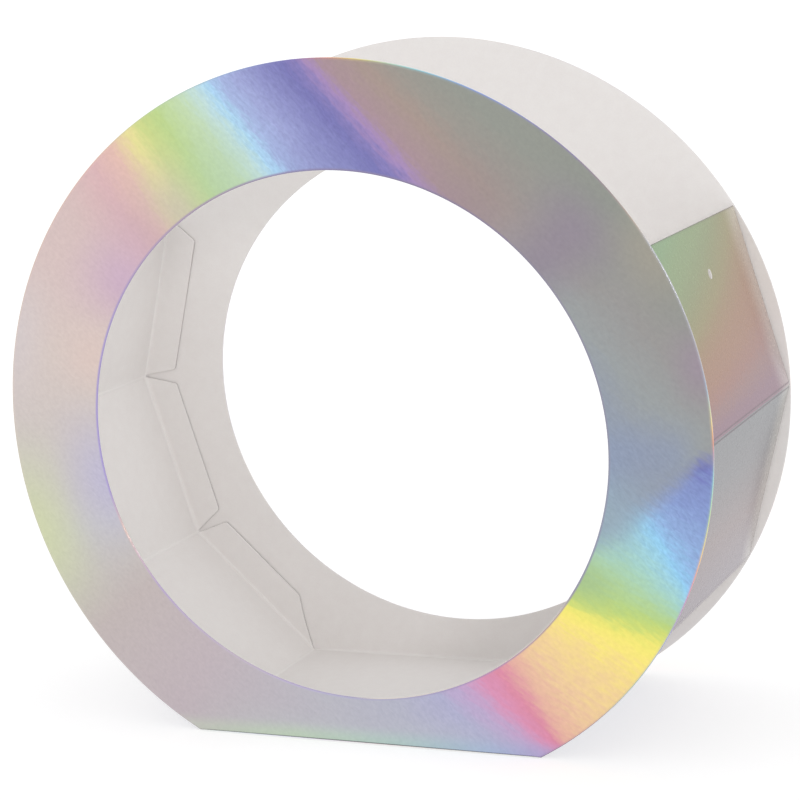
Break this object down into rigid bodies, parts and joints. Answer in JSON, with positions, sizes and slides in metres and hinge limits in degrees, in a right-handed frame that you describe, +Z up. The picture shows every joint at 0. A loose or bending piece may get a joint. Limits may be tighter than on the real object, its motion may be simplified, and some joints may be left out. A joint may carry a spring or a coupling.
{
  "type": "ring-shaped folding gift box",
  "caption": "Ring-shaped folding gift box of holographic film-faced card: round windows front and back, creased side walls and a flat base, open at the top for flowers.",
  "frame": {"origin": "middle of the base panel's underside, on the surface that the box stands on", "axes": "+X to the right along the base, +Y from the front ring to the back ring, +Z up"},
  "size_m": [0.3, 0.108, 0.2715],
  "materials": {
    "holographic_film": "metallised holographic film with a rainbow sheen",
    "white_board": "matt, uncoated",
    "adhesive_tape": "translucent"
  },
  "bodies": {
    "base": {"base_film": "holographic_film", "base_board": "white_board"},
    "front_ring": {"front_ring_film": "holographic_film", "front_ring_board": "white_board"},
    "back_ring": {"back_ring_film": "holographic_film", "back_ring_board": "white_board"},
    "left_lower_wall": {"left_lower_wall_film": "holographic_film", "left_lower_wall_board": "white_board"},
    "left_lower_front_tab": {"left_lower_front_tab_film": "holographic_film", "left_lower_front_tab_board": "white_board", "left_lower_front_tab_tape": "adhesive_tape"},
    "left_lower_back_tab": {"left_lower_back_tab_film": "holographic_film", "left_lower_back_tab_board": "white_board", "left_lower_back_tab_tape": "adhesive_tape"},
    "left_middle_wall": {"left_middle_wall_film": "holographic_film", "left_middle_wall_board": "white_board"},
    "left_middle_front_tab": {"left_middle_front_tab_film": "holographic_film", "left_middle_front_tab_board": "white_board", "left_middle_front_tab_tape": "adhesive_tape"},
    "left_middle_back_tab": {"left_middle_back_tab_film": "holographic_film", "left_middle_back_tab_board": "white_board", "left_middle_back_tab_tape": "adhesive_tape"},
    "left_upper_wall": {"left_upper_wall_film": "holographic_film", "left_upper_wall_board": "white_board"},
    "left_upper_front_tab": {"left_upper_front_tab_film": "holographic_film", "left_upper_front_tab_board": "white_board", "left_upper_front_tab_tape": "adhesive_tape"},
    "left_upper_back_tab": {"left_upper_back_tab_film": "holographic_film", "left_upper_back_tab_board": "white_board", "left_upper_back_tab_tape": "adhesive_tape"},
    "right_lower_wall": {"right_lower_wall_film": "holographic_film", "right_lower_wall_board": "white_board"},
    "right_lower_front_tab": {"right_lower_front_tab_film": "holographic_film", "right_lower_front_tab_board": "white_board", "right_lower_front_tab_tape": "adhesive_tape"},
    "right_lower_back_tab": {"right_lower_back_tab_film": "holographic_film", "right_lower_back_tab_board": "white_board", "right_lower_back_tab_tape": "adhesive_tape"},
    "right_middle_wall": {"right_middle_wall_film": "holographic_film", "right_middle_wall_board": "white_board"},
    "right_middle_front_tab": {"right_middle_front_tab_film": "holographic_film", "right_middle_front_tab_board": "white_board", "right_middle_front_tab_tape": "adhesive_tape"},
    "right_middle_back_tab": {"right_middle_back_tab_film": "holographic_film", "right_middle_back_tab_board": "white_board", "right_middle_back_tab_tape": "adhesive_tape"},
    "right_upper_wall": {"right_upper_wall_film": "holographic_film", "right_upper_wall_board": "white_board"},
    "right_upper_front_tab": {"right_upper_front_tab_film": "holographic_film", "right_upper_front_tab_board": "white_board", "right_upper_front_tab_tape": "adhesive_tape"},
    "right_upper_back_tab": {"right_upper_back_tab_film": "holographic_film", "right_upper_back_tab_board": "white_board", "right_upper_back_tab_tape": "adhesive_tape"}
  },
  "joints": [
    {"name": "front_ring_fold", "type": "hinge", "parent": "base", "child": "front_ring", "pos_m": [0, -0.054, 0], "axis": [1, 0, 0], "range_deg": [0, 90]},
    {"name": "back_ring_fold", "type": "hinge", "parent": "base", "child": "back_ring", "pos_m": [0, 0.054, 0], "axis": [-1, 0, 0], "range_deg": [0, 90]},
    {"name": "left_lower_wall_fold", "type": "hinge", "parent": "base", "child": "left_lower_wall", "pos_m": [-0.075, 0, 0], "axis": [0, -1, 0], "range_deg": [0, 44.13]},
    {"name": "left_lower_front_tab_fold", "type": "hinge", "parent": "left_lower_wall", "child": "left_lower_front_tab", "pos_m": [-0.075, -0.0532, 0], "axis": [0.7178, 0, -0.6963], "range_deg": [0, 90]},
    {"name": "left_lower_back_tab_fold", "type": "hinge", "parent": "left_lower_wall", "child": "left_lower_back_tab", "pos_m": [-0.075, 0.0532, 0], "axis": [-0.7178, 0, 0.6963], "range_deg": [0, 90]},
    {"name": "left_middle_wall_fold", "type": "hinge", "parent": "left_lower_wall", "child": "left_middle_wall", "pos_m": [-0.1299, 0, 0.05326], "axis": [0, -1, 0], "range_deg": [0, 30.43]},
    {"name": "left_middle_front_tab_fold", "type": "hinge", "parent": "left_middle_wall", "child": "left_middle_front_tab", "pos_m": [-0.1299, -0.0532, 0.05326], "axis": [0.2663, 0, -0.9639], "range_deg": [0, 90]},
    {"name": "left_middle_back_tab_fold", "type": "hinge", "parent": "left_middle_wall", "child": "left_middle_back_tab", "pos_m": [-0.1299, 0.0532, 0.05326], "axis": [-0.2663, 0, 0.9639], "range_deg": [0, 90]},
    {"name": "left_upper_wall_fold", "type": "hinge", "parent": "left_middle_wall", "child": "left_upper_wall", "pos_m": [-0.15, 0, 0.12601], "axis": [0, -1, 0], "range_deg": [0, 30.88]},
    {"name": "left_upper_front_tab_fold", "type": "hinge", "parent": "left_upper_wall", "child": "left_upper_front_tab", "pos_m": [-0.15, -0.0532, 0.12601], "axis": [-0.2663, 0, -0.9639], "range_deg": [0, 90]},
    {"name": "left_upper_back_tab_fold", "type": "hinge", "parent": "left_upper_wall", "child": "left_upper_back_tab", "pos_m": [-0.15, 0.0532, 0.12601], "axis": [0.2663, 0, 0.9639], "range_deg": [0, 90]},
    {"name": "right_lower_wall_fold", "type": "hinge", "parent": "base", "child": "right_lower_wall", "pos_m": [0.075, 0, 0], "axis": [0, 1, 0], "range_deg": [0, 44.13]},
    {"name": "right_lower_front_tab_fold", "type": "hinge", "parent": "right_lower_wall", "child": "right_lower_front_tab", "pos_m": [0.075, -0.0532, 0], "axis": [0.7178, 0, 0.6963], "range_deg": [0, 90]},
    {"name": "right_lower_back_tab_fold", "type": "hinge", "parent": "right_lower_wall", "child": "right_lower_back_tab", "pos_m": [0.075, 0.0532, 0], "axis": [-0.7178, 0, -0.6963], "range_deg": [0, 90]},
    {"name": "right_middle_wall_fold", "type": "hinge", "parent": "right_lower_wall", "child": "right_middle_wall", "pos_m": [0.1299, 0, 0.05326], "axis": [0, 1, 0], "range_deg": [0, 30.43]},
    {"name": "right_middle_front_tab_fold", "type": "hinge", "parent": "right_middle_wall", "child": "right_middle_front_tab", "pos_m": [0.1299, -0.0532, 0.05326], "axis": [0.2663, 0, 0.9639], "range_deg": [0, 90]},
    {"name": "right_middle_back_tab_fold", "type": "hinge", "parent": "right_middle_wall", "child": "right_middle_back_tab", "pos_m": [0.1299, 0.0532, 0.05326], "axis": [-0.2663, 0, -0.9639], "range_deg": [0, 90]},
    {"name": "right_upper_wall_fold", "type": "hinge", "parent": "right_middle_wall", "child": "right_upper_wall", "pos_m": [0.15, 0, 0.12601], "axis": [0, 1, 0], "range_deg": [0, 30.88]},
    {"name": "right_upper_front_tab_fold", "type": "hinge", "parent": "right_upper_wall", "child": "right_upper_front_tab", "pos_m": [0.15, -0.0532, 0.12601], "axis": [-0.2663, 0, 0.9639], "range_deg": [0, 90]},
    {"name": "right_upper_back_tab_fold", "type": "hinge", "parent": "right_upper_wall", "child": "right_upper_back_tab", "pos_m": [0.15, 0.0532, 0.12601], "axis": [0.2663, 0, -0.9639], "range_deg": [0, 90]}
  ],
  "couplings": [
    {"joint": "left_lower_front_tab_fold", "follows": "front_ring_fold", "ratio": 1},
    {"joint": "left_lower_back_tab_fold", "follows": "back_ring_fold", "ratio": 1},
    {"joint": "left_middle_front_tab_fold", "follows": "front_ring_fold", "ratio": 1},
    {"joint": "left_middle_back_tab_fold", "follows": "back_ring_fold", "ratio": 1},
    {"joint": "left_upper_front_tab_fold", "follows": "front_ring_fold", "ratio": 1},
    {"joint": "left_upper_back_tab_fold", "follows": "back_ring_fold", "ratio": 1},
    {"joint": "right_lower_front_tab_fold", "follows": "front_ring_fold", "ratio": 1},
    {"joint": "right_lower_back_tab_fold", "follows": "back_ring_fold", "ratio": 1},
    {"joint": "right_middle_front_tab_fold", "follows": "front_ring_fold", "ratio": 1},
    {"joint": "right_middle_back_tab_fold", "follows": "back_ring_fold", "ratio": 1},
    {"joint": "right_upper_front_tab_fold", "follows": "front_ring_fold", "ratio": 1},
    {"joint": "right_upper_back_tab_fold", "follows": "back_ring_fold", "ratio": 1}
  ]
}
